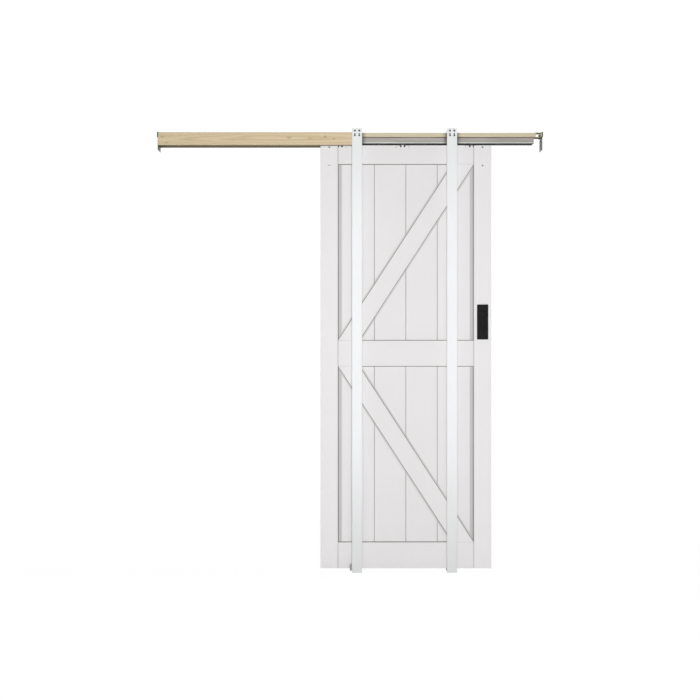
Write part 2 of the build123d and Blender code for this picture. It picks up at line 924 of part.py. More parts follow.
for name, x in hangers.items():
    make_hanger_plate(f"{name}_hanger_plate", x)
    make_hanger_lock(f"{name}_hanger_lock", x)
    make_hanger_bolt(f"{name}_hanger_bolt", x)
    make_trolley(f"{name}_trolley", x)
    make_axles(f"{name}_trolley_axles", x)
    make_wheels(f"{name}_trolley_wheels_a", x - wheel_spacing / 2)
    make_wheels(f"{name}_trolley_wheels_b", x + wheel_spacing / 2)
make_stops()
make_bumpers()
for name, group in fasteners.items():
    with BuildPart() as screws:
        add(group)
    save(screws, name)
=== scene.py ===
import math

import bmesh
import bpy
import numpy as np
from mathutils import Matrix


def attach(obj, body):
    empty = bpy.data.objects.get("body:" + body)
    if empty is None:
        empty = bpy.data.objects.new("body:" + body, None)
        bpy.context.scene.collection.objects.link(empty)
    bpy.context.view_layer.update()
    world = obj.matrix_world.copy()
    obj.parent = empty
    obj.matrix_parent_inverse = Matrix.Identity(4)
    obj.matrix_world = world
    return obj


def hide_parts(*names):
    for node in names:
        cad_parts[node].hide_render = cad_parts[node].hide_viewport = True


# Metres, +X towards the pocket, -Y the front, +Z up.

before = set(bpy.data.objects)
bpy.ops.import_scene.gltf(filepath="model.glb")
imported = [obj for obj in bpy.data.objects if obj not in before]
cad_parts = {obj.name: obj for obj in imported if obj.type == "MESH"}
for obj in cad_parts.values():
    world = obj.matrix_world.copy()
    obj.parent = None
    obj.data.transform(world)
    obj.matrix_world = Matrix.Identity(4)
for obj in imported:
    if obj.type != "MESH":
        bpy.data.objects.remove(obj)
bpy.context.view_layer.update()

# Sizes shared with the solids
LEAF_LEFT, LEAF_RIGHT = -0.1495, 0.7141
LEAF_BOTTOM, LEAF_TOP = 0.0183, 2.1519
LEAF_FACE = 0.0175  # faces are given from the middle plane
STILE = 0.0889
LOWER_OPENING = (0.1488, 1.0396)
UPPER_OPENING = (1.1674, 2.0597)
BRACE_WIDTH = 0.0889
BRACE_FOOT = 0.1061  # its level width
TRACK_BOTTOM, TRACK_FOOT, TRACK_TOP = 2.164, 2.17, 2.195
TRACK_END = 0.928
BOARD_TOP = 2.216
FRAME_FACE = 0.0445
HANGERS = {"left": -0.05, "middle": 0.2663, "right": 0.6146}
AXLE_LEVEL = 2.1779
STUD_CENTRES = (0.0354, 0.5137)
STUD_HALF = 0.0254
STUD_HOLE_COLUMN = 0.0108  # from the stud's middle
STUD_HOLE_LEVELS = (-0.016, -0.008, 0.008)  # from the board's top
CUP_BOTTOM, CUP_MIDDLE = 2.1935, 2.215  # levels of the brackets' cups
BOARD_END = 0.966
STILE_MIDDLES = (LEAF_LEFT + STILE / 2, LEAF_RIGHT - STILE / 2)
STRAP_DROPS = (0.008, 0.1)
STRAP_HOLES = [(x, 0, LEAF_TOP - drop) for x in STILE_MIDDLES for drop in STRAP_DROPS]
STRAP_HOLE_RADIUS = 0.006
NAILER_INNER_FACE = 0.0255
TRACK_INNER_FACE = 0.017
BRACKET_FACE = 0.9645  # the end plates' inner faces
HANGER_SCREW = 0.028  # from the hanger's middle
BRIDGE_HALF = 0.016  # half the width of a hanger's middle
HANGER_SEAT = 0.007  # where the bolt's head bears, above the leaf
AXLES = {"a": -0.02, "b": 0.02}  # from the trolley's middle
WHEEL_MIDDLE = 0.0115  # from the track's middle
PULL_SCREW = (0.66965, 0.0191, 1.2618)
PULL_SCREW_RISE = 0.0755  # above and below the pull's centre
GUIDE_SCREW = (-0.001, 0.035, 0.035)
TRACK_SCREWS = (-0.8, -0.4, 0.0, 0.4, 0.8)
STOP_SCREWS = (-0.7558, 0.8266)
TRACK_SCREW_DROP, STOP_SCREW_DROP = 0.0045, 0.0285  # from the rail's top to the heads
HANGER_SCREW_RISE = 0.005  # from the leaf's top to the heads
BUMPER_BACKS = (-0.7408, 0.8116)
BOTH_SIDES = (-1, 1)  # front and back

# The camera and the picture
CAMERA = (0.0, -6.27, 1.1204)
FOCAL_SHARE = 1238 / 700  # focal length over the picture's width, in pixels
SENSOR = 36.0


def place_camera():
    """The camera stands square to the front, level with the picture's middle."""
    lens = bpy.data.cameras.new("camera")
    lens.sensor_width = SENSOR
    lens.lens = SENSOR * FOCAL_SHARE
    camera = bpy.data.objects.new("camera", lens)
    camera.location = CAMERA
    camera.rotation_euler = (math.radians(90), 0, 0)
    bpy.context.scene.collection.objects.link(camera)
    bpy.context.scene.camera = camera


# Shader nodes

ORIGIN = (0, 0, 0)
FINISH = {}  # every finish by its name


def fill(tree, sockets, values):
    """Gives sockets their values, or links them to other nodes' sockets."""
    for name, value in values.items():
        if isinstance(value, bpy.types.NodeSocket):
            tree.links.new(value, sockets[name])
        else:
            sockets[name].default_value = value


def add_node(tree, kind, inputs=None, **settings):
    """A node with its settings, and its inputs given as values or as other nodes' sockets."""
    made = tree.nodes.new(kind)
    for name, value in settings.items():
        setattr(made, name, value)
    fill(tree, made.inputs, inputs or {})
    return made


def math_node(tree, operation, a, b=0.0, clamp=False):
    """One sum on two numbers or sockets."""
    return add_node(tree, "ShaderNodeMath", {0: a, 1: b}, operation=operation, use_clamp=clamp).outputs[0]


def combined(tree, operation, values):
    """Several values taken together by one operation."""
    first, *others = values
    for value in others:
        first = math_node(tree, operation, first, value)
    return first


def vector_node(tree, operation, a, b=ORIGIN):
    """One sum on vectors or sockets: lengths and dot products are numbers, the others are vectors."""
    result = "Value" if operation in ("LENGTH", "DOT_PRODUCT") else "Vector"
    return add_node(tree, "ShaderNodeVectorMath", {0: a, 1: b}, operation=operation).outputs[result]


def noise_node(tree, point, scale, detail, rough=0.5):
    """Smooth noise from 0 to 1."""
    inputs = {"Vector": point, "Scale": scale, "Detail": detail, "Roughness": rough}
    return add_node(tree, "ShaderNodeTexNoise", inputs).outputs["Fac"]


def blend_colour(tree, share, first, second, strength=None):
    """The second colour over the first, by a share from 0 to 1, times a strength where one is given."""
    if strength is not None:
        share = math_node(tree, "MULTIPLY", share, strength)
    return add_node(tree, "ShaderNodeMix", {0: share, 6: first, 7: second}, data_type="RGBA").outputs[2]


def spread(tree, value, low, high, to_low=0.0, to_high=1.0):
    """A value carried from the range low to high over to another range, and held at its ends."""
    inputs = {"Value": value, "From Min": low, "From Max": high, "To Min": to_low, "To Max": to_high}
    return add_node(tree, "ShaderNodeMapRange", inputs, interpolation_type="SMOOTHSTEP").outputs[0]


def between(tree, mask, low, high):
    """A value that goes from low to high with a mask."""
    return spread(tree, mask, 0.0, 1.0, low, high)


def halfway(tree, first, second):
    """The mean of two masks."""
    return math_node(tree, "MULTIPLY", math_node(tree, "ADD", first, second), 0.5)


def split(tree, vector):
    """The sockets of a vector's X, Y and Z."""
    return add_node(tree, "ShaderNodeSeparateXYZ", {0: vector}).outputs


def in_middle(tree, x, z):
    """The point of the middle plane at a width and a level."""
    return add_node(tree, "ShaderNodeCombineXYZ", {"X": x, "Z": z}).outputs[0]


def off_middle(tree, place, axis="Y"):
    """The distance from the middle plane square to an axis."""
    return math_node(tree, "ABSOLUTE", split(tree, place)[axis])


def folded(tree, value, middle):
    """The distance of a value from a middle, which folds both sides onto one."""
    return math_node(tree, "ABSOLUTE", math_node(tree, "SUBTRACT", value, middle))


def surface_normal(tree):
    """The way that the surface faces."""
    return add_node(tree, "ShaderNodeNewGeometry").outputs["True Normal"]


def rgb(red, green, blue):
    """A colour from the values 0 to 255 that it shows on a screen."""
    levels = [c / 255 for c in (red, green, blue)]
    return tuple(c / 12.92 if c <= 0.04045 else ((c + 0.055) / 1.055) ** 2.4 for c in levels) + (1.0,)


def start_group(name, outputs=("Mask",), **inputs):
    """An empty shader group with named sockets: itself, the sockets it reads and those it fills.

    Its inputs are vectors or numbers, as their first values are, and only the output Normal is a vector.
    """
    group = bpy.data.node_groups.new(name, "ShaderNodeTree")
    for label, value in inputs.items():
        kind = "NodeSocketVector" if isinstance(value, tuple) else "NodeSocketFloat"
        group.interface.new_socket(label, in_out="INPUT", socket_type=kind).default_value = value
    for label in outputs:
        kind = "NodeSocketVector" if label == "Normal" else "NodeSocketFloat"
        group.interface.new_socket(label, in_out="OUTPUT", socket_type=kind)
    return group, group.nodes.new("NodeGroupInput").outputs, group.nodes.new("NodeGroupOutput").inputs


def use_group(tree, group, **inputs):
    """A group placed in a material, with its own values."""
    return add_node(tree, "ShaderNodeGroup", inputs, node_tree=group).outputs


def streak_group():
    """Streaks or patches: noise whose frequency per metre is given along each axis, spread by contrast."""
    group, given, put = start_group("streaks", Point=ORIGIN, Frequency=(10, 10, 10), Contrast=0.5)
    scaled = vector_node(group, "MULTIPLY", given["Point"], given["Frequency"])
    half = math_node(group, "MULTIPLY", given["Contrast"], 0.5)
    low, high = (math_node(group, operation, 0.5, half) for operation in ("SUBTRACT", "ADD"))
    noise = noise_node(group, scaled, scale=1.0, detail=3.0, rough=0.55)
    group.links.new(spread(group, noise, low, high), put["Mask"])
    return group


def ring_group():
    """Growth rings: a wave over the distance from the pith, a line along X, bent by slow noise."""
    group, given, put = start_group(
        "growth_rings", Point=ORIGIN, Pith=ORIGIN, Spacing=0.004, Bend=0.02, Knot=0.0
    )
    slow_frequency, across = (1.3, 9, 9), (0, 1, 1)
    scaled = vector_node(group, "MULTIPLY", given["Point"], slow_frequency)
    bent = math_node(group, "MULTIPLY", noise_node(group, scaled, scale=1.0, detail=2.0), given["Bend"])
    offset = vector_node(group, "SUBTRACT", given["Point"], given["Pith"])
    radius = vector_node(group, "LENGTH", vector_node(group, "MULTIPLY", offset, across))
    radius = combined(group, "ADD", [radius, bent, given["Knot"]])
    turns = math_node(group, "DIVIDE", radius, given["Spacing"])
    wave = math_node(group, "SINE", math_node(group, "MULTIPLY", turns, 2 * math.pi))
    group.links.new(spread(group, wave, -0.6, 1.0), put["Mask"])
    return group


def spot_group():
    """A spot that is 1 at its centre and 0 at its radius: Shape weighs the distance along each axis."""
    group, given, put = start_group("spot", Point=ORIGIN, Centre=ORIGIN, Shape=(1, 1, 1), Radius=0.01)
    away = vector_node(group, "SUBTRACT", given["Point"], given["Centre"])
    far = vector_node(group, "LENGTH", vector_node(group, "MULTIPLY", away, given["Shape"]))
    share = math_node(group, "DIVIDE", far, given["Radius"])
    group.links.new(spread(group, share, 1.0, 0.0), put["Mask"])
    return group


def edge_group():
    """Rubbed edges: how far the surface turns within a small radius, broken up by noise."""
    group, given, put = start_group("rubbed_edges", ("Mask", "Normal"), Point=ORIGIN, Reach=0.001)
    normal = add_node(group, "ShaderNodeBevel", {"Radius": given["Reach"]}, samples=4).outputs[0]
    cosine = vector_node(group, "DOT_PRODUCT", normal, surface_normal(group))
    turn = math_node(group, "SUBTRACT", 1.0, cosine)
    noise = noise_node(group, given["Point"], scale=140.0, detail=3.0)
    wear = 7.0
    strength = math_node(group, "MULTIPLY", noise, wear)
    group.links.new(math_node(group, "MULTIPLY", turn, strength, clamp=True), put["Mask"])
    group.links.new(normal, put["Normal"])
    return group


def recess_group():
    """Painted shade along a recess, inside an upright rectangle.

    The line lies along its four edges and ends at Reach, given in X and in Z. The band lies along its upright
    edges and ends at Band. Both are 1 at the edges, and fade over the last part of their width.
    """
    group, given, put = start_group(
        "recess_shade",
        ("Line", "Band"),
        Point=ORIGIN,
        Low=ORIGIN,
        High=ORIGIN,
        Reach=(0.004, 1, 0.004),
        Band=0.02,
    )
    near, sides = [], []
    for outer, inner in (("Point", "Low"), ("High", "Point")):
        gap = vector_node(group, "SUBTRACT", given[outer], given[inner])
        shares = split(group, vector_node(group, "DIVIDE", gap, given["Reach"]))
        near += [shares["X"], shares["Z"]]
        sides.append(split(group, gap)["X"])
    line_fades, band_fades = 0.7, 0.6
    group.links.new(spread(group, combined(group, "MINIMUM", near), 1.0, line_fades), put["Line"])
    share = math_node(group, "DIVIDE", combined(group, "MINIMUM", sides), given["Band"])
    group.links.new(spread(group, share, 1.0, band_fades), put["Band"])
    return group


def edge_line_group():
    """Painted shade along a slanting board: a line at its two edges that ends at Reach, and a band that ends
    at Band.

    The distance is the length of the offset from Start crossed with the board's direction, less half the
    board's width. Line and band fade over the outer half of their width.
    """
    group, given, put = start_group(
        "board_edge_shade",
        ("Line", "Band"),
        Point=ORIGIN,
        Start=ORIGIN,
        Direction=(0, 0, 1),
        Half=0.04,
        Reach=0.003,
        Band=0.01,
    )
    offset = vector_node(group, "SUBTRACT", given["Point"], given["Start"])
    flat = vector_node(group, "MULTIPLY", offset, (1, 0, 1))
    crossed = vector_node(group, "CROSS_PRODUCT", flat, given["Direction"])
    past = math_node(group, "SUBTRACT", vector_node(group, "LENGTH", crossed), given["Half"])
    for output, width in (("Line", "Reach"), ("Band", "Band")):
        share = math_node(group, "DIVIDE", past, given[width])
        group.links.new(spread(group, share, 1.0, 0.5), put[output])
    return group


def groove_group():
    """Painted shade on the walls of grooves and bevels.

    It is 1 where the surface faces neither front nor back, more than Margin inside the upright rectangle from
    Low to High.
    """
    group, given, put = start_group("groove_shade", Point=ORIGIN, Low=ORIGIN, High=(1, 0, 1), Margin=0.002)
    flat, steep = 0.96, 0.85  # cosines of the angle to the front or back
    mask = spread(group, off_middle(group, surface_normal(group)), flat, steep)
    for outer, inner in (("Point", "Low"), ("High", "Point")):
        gap = vector_node(group, "SUBTRACT", given[outer], given[inner])
        for axis in "XZ":
            share = math_node(group, "DIVIDE", split(group, gap)[axis], given["Margin"])
            mask = math_node(group, "MULTIPLY", mask, spread(group, share, 1.0, 1.5))
    group.links.new(mask, put["Mask"])
    return group


def facing_group():
    """1 on surfaces that face a given way, 0 on those more than about 60 degrees from it."""
    group, given, put = start_group("facing", Way=(0, 0, -1))
    cosine = vector_node(group, "DOT_PRODUCT", surface_normal(group), given["Way"])
    group.links.new(spread(group, cosine, 0.5, 0.9), put["Mask"])
    return group


def stud_shade_group():
    """Painted shade beside two upright studs: 1 at their edges, and 0 at Reach, as the power 1.5 of what is
    left.
    """
    group, given, put = start_group("stud_contact_shade", Point=ORIGIN, First=0.0, Second=0.5, Half=0.025, Reach=0.025)
    across = split(group, given["Point"])["X"]
    masks = []
    for centre in ("First", "Second"):
        past = math_node(group, "SUBTRACT", folded(group, across, given[centre]), given["Half"])
        share = math_node(group, "DIVIDE", past, given["Reach"], clamp=True)
        masks.append(math_node(group, "POWER", math_node(group, "SUBTRACT", 1.0, share), 1.5))
    group.links.new(combined(group, "MAXIMUM", masks), put["Mask"])
    return group


STREAKS = streak_group()
RINGS = ring_group()
SPOT = spot_group()
EDGES = edge_group()
RECESS = recess_group()
BOARD_EDGE = edge_line_group()
GROOVES = groove_group()
FACING = facing_group()
STUD_CONTACT_SHADE = stud_shade_group()


def streaked(tree, place, frequency, contrast):
    """The mask of streaks or patches with a frequency per metre along each axis."""
    return use_group(tree, STREAKS, Point=place, Frequency=frequency, Contrast=contrast)["Mask"]


def spot(tree, place, centre, shape, radius):
    """The mask of one spot."""
    return use_group(tree, SPOT, Point=place, Centre=centre, Shape=shape, Radius=radius)["Mask"]


def facing(tree, way):
    """The mask of the surfaces that face a way."""
    return use_group(tree, FACING, Way=way)["Mask"]


def eased(tree, place, reach):
    """The normal of a surface whose edges are rounded over reach metres."""
    return use_group(tree, EDGES, Point=place, Reach=reach)["Normal"]


def new_material(name):
    """Starts a finish: its nodes, and the place that its patterns read."""
    material = FINISH[name] = bpy.data.materials.new(name)
    material.use_nodes = True
    tree = material.node_tree
    return tree, add_node(tree, "ShaderNodeTexCoord").outputs["Object"]


def set_shader(tree, **inputs):
    """Sets the shader's sockets, which are named with underscores for spaces."""
    named = {name.replace("_", " "): value for name, value in inputs.items()}
    fill(tree, tree.nodes["Principled BSDF"].inputs, named)


def raised(tree, height, distance, normal):
    """The normal of a surface whose height varies over distance metres."""
    inputs = {"Height": height, "Distance": distance, "Strength": 1.0, "Normal": normal}
    return add_node(tree, "ShaderNodeBump", inputs).outputs[0]


# Finishes

STILE_PAINT = (rgb(234, 231, 232), rgb(230, 228, 229))
RAIL_PAINT = (rgb(230, 228, 228), rgb(226, 224, 224))
# Painted shade in the door's grooves, along its recesses and beside its braces
SHADE_GREY = rgb(122, 119, 118)
GROOVE_SHADE = 0.4
FRAME_SHADE, BRACE_SHADE = (0.95, 0.42), (0.85, 0.28)  # how strong the line and the band are
# Black for painted shade: in holes, round the stud holes, under the hangers and at the boards' ends
SHADE_BLACK = rgb(22, 20, 19)
HARD_EDGE = (0.01, 0.06)  # the shares of a spot between which a hole's edge lies
# How far each painted shadow lies from the hanger's middle and below the leaf's top, its radius and its
# strength
HANGER_SHADE_MARKS = ((0.0096, 0.0025, 0.0075, 1.0), (0.031, 0.0065, 0.0045, 0.4))
# Painted shade under the boards and on the nailers' inner faces, blacker towards the boards' ends
SHADE_BROWN = rgb(99, 85, 64)
END_SHADE = 0.08  # how far it reaches from the board's ends
# Early wood, late wood and warm patches
NAILER_PINE = (rgb(219, 203, 169), rgb(200, 181, 141), rgb(212, 187, 153))
BOARD_PINE = (rgb(214, 206, 180), rgb(195, 183, 151), rgb(206, 192, 164))
KNOT_BROWN = rgb(176, 152, 114)
NAILER_KNOTS = (
    ((-0.943, 0, 2.194), 0.009),
    ((-0.924, 0, 2.162), 0.008),
    ((-0.307, 0, 2.19), 0.011),
    ((-0.2, 0, 2.185), 0.01),
    ((-0.125, 0, 2.192), 0.012),
    ((-0.08, 0, 2.183), 0.01),
)
STUD_WHITE = rgb(241, 242, 243)
STUD_SHADE = rgb(236, 238, 239)
STUD_SHADE_GREY = rgb(205, 207, 207)
# The levels where the studs begin to grey with painted shade and are greyest, and how grey they are at each
SHADE_BELOW, SHADE_ABOVE = (0.75, -0.05, 0.0, 0.6), (1.6, 2.3, 0.0, 0.25)
RING_RADII = (0.005, 0.0038, 0.0056)  # round the stud holes of each level
TRACK_GREY = rgb(139, 134, 130)
TRACK_SHADE = rgb(129, 125, 122)
# Painted light on the rail's foot, painted shade under the board, and black painted shade inside and below
# the rail
TRACK_FOOT_LIT = rgb(166, 170, 164)
TRACK_TOP_SHADE = rgb(88, 78, 54)
TRACK_SHADE_BLACK = rgb(20, 22, 20)
# Painted contact shade beside the studs
CONTACT_SHADE = rgb(30, 27, 22)
ZINC_OLIVE = (rgb(108, 109, 88), rgb(88, 90, 68))
ZINC_GREY = rgb(112, 112, 109)
# Painted pale sheen on the brackets' folds and cup roofs
ZINC_SHEEN = rgb(208, 211, 176)
HANGER_GREY = (rgb(176, 177, 174), rgb(200, 201, 198))
HANGER_DARK = rgb(34, 34, 32)
METALS = {
    "bright_steel": dict(
        light=rgb(190, 190, 188), dark=rgb(150, 150, 148), frequency=300, smooth=0.25, rough=0.4
    ),
    "cast_zinc": dict(
        light=rgb(150, 150, 152),
        dark=rgb(112, 112, 114),
        frequency=500,
        smooth=0.45,
        rough=0.6,
        depth=0.00008,
    ),
    "black_metal": dict(
        light=rgb(24, 24, 24),
        dark=rgb(17, 17, 17),
        worn=rgb(44, 44, 44),
        frequency=900,
        smooth=0.45,
        rough=0.6,
        metallic=0.0,
        gloss=0.07,
    ),
}
MOULDED = {
    "grey_plastic": dict(
        light=rgb(150, 150, 150), dark=rgb(128, 128, 128), size=0.0008, smooth=0.4, rough=0.55
    ),
    "nylon": dict(light=rgb(226, 224, 214), dark=rgb(214, 211, 200), size=0.001, smooth=0.35, rough=0.5),
    "rubber": dict(light=rgb(44, 44, 44), dark=rgb(30, 30, 30), size=0.0006, smooth=0.6, rough=0.8),
}


def beside_studs(tree, place, colour, strength):
    """A colour darkened by painted shade where the studs stand against the header."""
    first, second = STUD_CENTRES
    near = use_group(tree, STUD_CONTACT_SHADE, Point=place, First=first, Second=second, Half=STUD_HALF, Reach=0.026)
    return blend_colour(tree, near["Mask"], colour, CONTACT_SHADE, strength)


def bored(tree, place):
    """1 in the strap holes, below the leaf's faces, where the holes' walls take painted shade."""
    spots = [spot(tree, place, centre, (1, 0, 1), STRAP_HOLE_RADIUS) for centre in STRAP_HOLES]
    below = spread(tree, off_middle(tree, place), LEAF_FACE - 0.0001, LEAF_FACE - 0.0006)
    holes = spread(tree, combined(tree, "MAXIMUM", spots), *HARD_EDGE)
    return math_node(tree, "MULTIPLY", holes, below)


def hanger_shade(tree, place):
    """1 on the painted shadows below each hanger, on the leaf's top edge, with both sides folded onto one."""
    parts = split(tree, place)
    shade_marks = []
    for x in HANGERS.values():
        point = in_middle(tree, folded(tree, parts["X"], x), parts["Z"])
        for aside, drop, radius, strength in HANGER_SHADE_MARKS:
            shade_mark = spot(tree, point, (aside, 0, LEAF_TOP - drop), (1.1, 0, 1), radius)
            shade_marks.append(spread(tree, shade_mark, 0.1, 0.4, 0.0, strength))
    return combined(tree, "MAXIMUM", shade_marks)


def painted_wood(name, paint, frequency, recess=None, brace=None, holes=False, shade_marks=False):
    """Satin white paint: brush marks along the grain, fine orange peel, and painted shade in grooves and
    recesses.
    """
    tree, place = new_material(name)
    brushed = streaked(tree, place, frequency, 0.7)
    patches = streaked(tree, place, (5, 5, 5), 0.6)
    peel = streaked(tree, place, (700, 700, 700), 0.9)
    colour = blend_colour(tree, halfway(tree, brushed, patches), paint[1], paint[0])
    low, high = (LEAF_LEFT, 0, LEAF_BOTTOM), (LEAF_RIGHT, 0, LEAF_TOP)
    grooves = use_group(tree, GROOVES, Point=place, Low=low, High=high, Margin=0.002)["Mask"]
    painted_shade = math_node(tree, "MULTIPLY", grooves, GROOVE_SHADE)
    if recess:
        low, high = recess
        frame_shade = use_group(
            tree,
            RECESS,
            Point=place,
            Low=(LEAF_LEFT + STILE, 0, low),
            High=(LEAF_RIGHT - STILE, 0, high),
            Reach=(0.0052, 1, 0.0042),
            Band=0.024,
        )
        start, end = brace
        run = np.array(end) - np.array(start)
        brace_shade = use_group(
            tree,
            BOARD_EDGE,
            Point=place,
            Start=start,
            Direction=tuple(run / np.linalg.norm(run)),
            Half=BRACE_WIDTH / 2,
            Reach=0.0045,
            Band=0.013,
        )
        for given, strengths in ((frame_shade, FRAME_SHADE), (brace_shade, BRACE_SHADE)):
            for part, strength in zip(("Line", "Band"), strengths):
                painted_shade = math_node(tree, "MAXIMUM", painted_shade, math_node(tree, "MULTIPLY", given[part], strength))
    # Painted shade in grooves, recesses and beside the braces
    colour = blend_colour(tree, painted_shade, colour, SHADE_GREY)
    # Painted shade: black inside the strap holes
    if holes:
        colour = blend_colour(tree, bored(tree, place), colour, SHADE_BLACK)
    # Painted shadow below each hanger on the leaf's top edge
    if shade_marks:
        colour = blend_colour(tree, hanger_shade(tree, place), colour, SHADE_BLACK)
    rough = between(tree, brushed, 0.5, 0.62)
    edges = eased(tree, place, 0.0012)
    height = math_node(tree, "ADD", brushed, math_node(tree, "MULTIPLY", peel, 0.4))
    normal = raised(tree, height, 0.00006, edges)
    set_shader(tree, Base_Color=colour, Roughness=rough, Specular_IOR_Level=0.35, Normal=normal)


def pine(name, tones, pith, knots=(), inner_face=0.0, against_studs=False):
    """Planed pine, left bare: flat rings, fine fibres and faint knots, with painted shade below and on an
    inner face.
    """
    tree, place = new_material(name)
    bend = {}
    if knots:
        spots = [spot(tree, place, centre, (0.6, 0, 1), radius) for centre, radius in knots]
        knotty = combined(tree, "MAXIMUM", spots)
        bend["Knot"] = math_node(tree, "MULTIPLY", knotty, 0.006)
    rings = use_group(tree, RINGS, Point=place, Pith=pith, Spacing=0.0055, Bend=0.05, **bend)["Mask"]
    fibres = streaked(tree, place, (9, 900, 900), 0.7)
    patches = streaked(tree, place, (4, 20, 20), 0.5)
    early, late, warm = tones
    colour = blend_colour(tree, rings, early, late)
    colour = blend_colour(tree, patches, colour, warm, 0.5)
    colour = blend_colour(tree, fibres, colour, late, 0.18)
    if knots:
        colour = blend_colour(tree, knotty, colour, KNOT_BROWN, 0.8)
    # Painted shade on the undersides and inner faces, blacker towards the ends
    shaded = facing(tree, (0, 0, -1))
    if inner_face:
        within = spread(tree, off_middle(tree, place), inner_face + 0.0006, inner_face + 0.0001)
        shaded = math_node(tree, "MAXIMUM", shaded, within)
    ends = spread(tree, off_middle(tree, place, "X"), BOARD_END - END_SHADE, BOARD_END, 0.0, 0.7)
    shade = blend_colour(tree, ends, SHADE_BROWN, SHADE_BLACK)
    colour = blend_colour(tree, shaded, colour, shade, 0.85)
    # Painted contact shade beside the studs
    if against_studs:
        colour = beside_studs(tree, place, colour, 0.85)
    rough = between(tree, fibres, 0.55, 0.72)
    edges = eased(tree, place, 0.001)
    height = math_node(tree, "ADD", fibres, math_node(tree, "MULTIPLY", rings, 0.6))
    set_shader(tree, Base_Color=colour, Roughness=rough, Normal=raised(tree, height, 0.00008, edges))


def ringed(tree, place):
    """1 on the dark rings round the holes near the studs' tops, painted shade for the holes' dark insides.

    Both studs, and then both columns of holes, are folded onto one.
    """
    parts = split(tree, place)
    across = parts["X"]
    first, second = STUD_CENTRES
    for middle, half in (((first + second) / 2, (second - first) / 2), (0.0, STUD_HOLE_COLUMN)):
        across = math_node(tree, "SUBTRACT", folded(tree, across, middle), half)
    point = in_middle(tree, across, parts["Z"])
    rings = [
        spot(tree, point, (0, 0, BOARD_TOP + level), (1, 0, 1), radius)
        for level, radius in zip(STUD_HOLE_LEVELS, RING_RADII)
    ]
    return spread(tree, combined(tree, "MAXIMUM", rings), *HARD_EDGE)


def white_steel():
    """Coated sheet: cool white with faint rolling marks along the stud, with painted shade greyer towards
    floor and header.
    """
    tree, place = new_material("white_steel")
    rolled = streaked(tree, place, (260, 260, 1.5), 0.8)
    patches = streaked(tree, place, (12, 12, 6), 0.6)
    colour = blend_colour(tree, halfway(tree, rolled, patches), STUD_SHADE, STUD_WHITE)
    level = split(tree, place)["Z"]
    # Painted shade, greyer towards floor and header
    shade_ramps = [spread(tree, level, *levels) for levels in (SHADE_BELOW, SHADE_ABOVE)]
    colour = blend_colour(tree, combined(tree, "MAXIMUM", shade_ramps), colour, STUD_SHADE_GREY)
    # Painted shade: dark rings round the holes
    colour = blend_colour(tree, ringed(tree, place), colour, SHADE_BLACK)
    edges = eased(tree, place, 0.0006)
    rough = between(tree, patches, 0.45, 0.55)
    normal = raised(tree, rolled, 0.00002, edges)
    set_shader(tree, Base_Color=colour, Roughness=rough, Specular_IOR_Level=0.3, Normal=normal)


def track_metal():
    """Drawn aluminium, streaked along the rail: a foot painted lighter, painted shade at its top, painted
    black shade inside and below.
    """
    tree, place = new_material("track_aluminium")
    drawn = streaked(tree, place, (3, 700, 700), 0.8)
    patches = streaked(tree, place, (7, 60, 60), 0.7)
    edges = eased(tree, place, 0.0006)
    level = split(tree, place)["Z"]
    body = blend_colour(tree, halfway(tree, drawn, patches), TRACK_SHADE, TRACK_GREY)
    # Painted light: the foot is lighter
    foot = spread(tree, level, TRACK_FOOT, TRACK_FOOT - 0.0004)
    body = blend_colour(tree, foot, body, TRACK_FOOT_LIT)
    # Painted shade at the rail's top, under the board
    shade = spread(tree, level, TRACK_TOP - 0.006, TRACK_TOP - 0.001)
    body = blend_colour(tree, shade, body, TRACK_TOP_SHADE, 0.9)
    # Painted contact shade beside the studs
    body = beside_studs(tree, place, body, 0.75)
    # Painted black shade inside the rail and on its underside
    inside = spread(tree, off_middle(tree, place), TRACK_INNER_FACE + 0.0008, TRACK_INNER_FACE + 0.0002)
    unlit = math_node(tree, "MAXIMUM", facing(tree, (0, 0, -1)), inside)
    colour = blend_colour(tree, unlit, body, TRACK_SHADE_BLACK)
    rough = between(tree, patches, 0.5, 0.62)
    set_shader(
        tree,
        Base_Color=colour,
        Roughness=rough,
        Metallic=between(tree, unlit, 0.7, 0.0),
        Specular_IOR_Level=0.15,
        Normal=raised(tree, drawn, 0.00002, edges),
    )


def metal(name, light, dark, frequency, smooth, rough, worn=None, depth=0.00002, metallic=1.0, gloss=0.5):
    """Bare or plated metal: grain and patches in two tones, and a third where its edges are worn."""
    tree, place = new_material(name)
    grain = streaked(tree, place, (frequency,) * 3, 0.8)
    patches = streaked(tree, place, (60, 60, 60), 0.7)
    edges = use_group(tree, EDGES, Point=place, Reach=0.0008)
    colour = blend_colour(tree, halfway(tree, grain, patches), dark, light)
    if worn:
        colour = blend_colour(tree, edges["Mask"], colour, worn)
    finish = between(tree, patches, smooth, rough)
    set_shader(
        tree,
        Base_Color=colour,
        Roughness=finish,
        Metallic=metallic,
        Specular_IOR_Level=gloss,
        Normal=raised(tree, grain, depth, edges["Normal"]),
    )


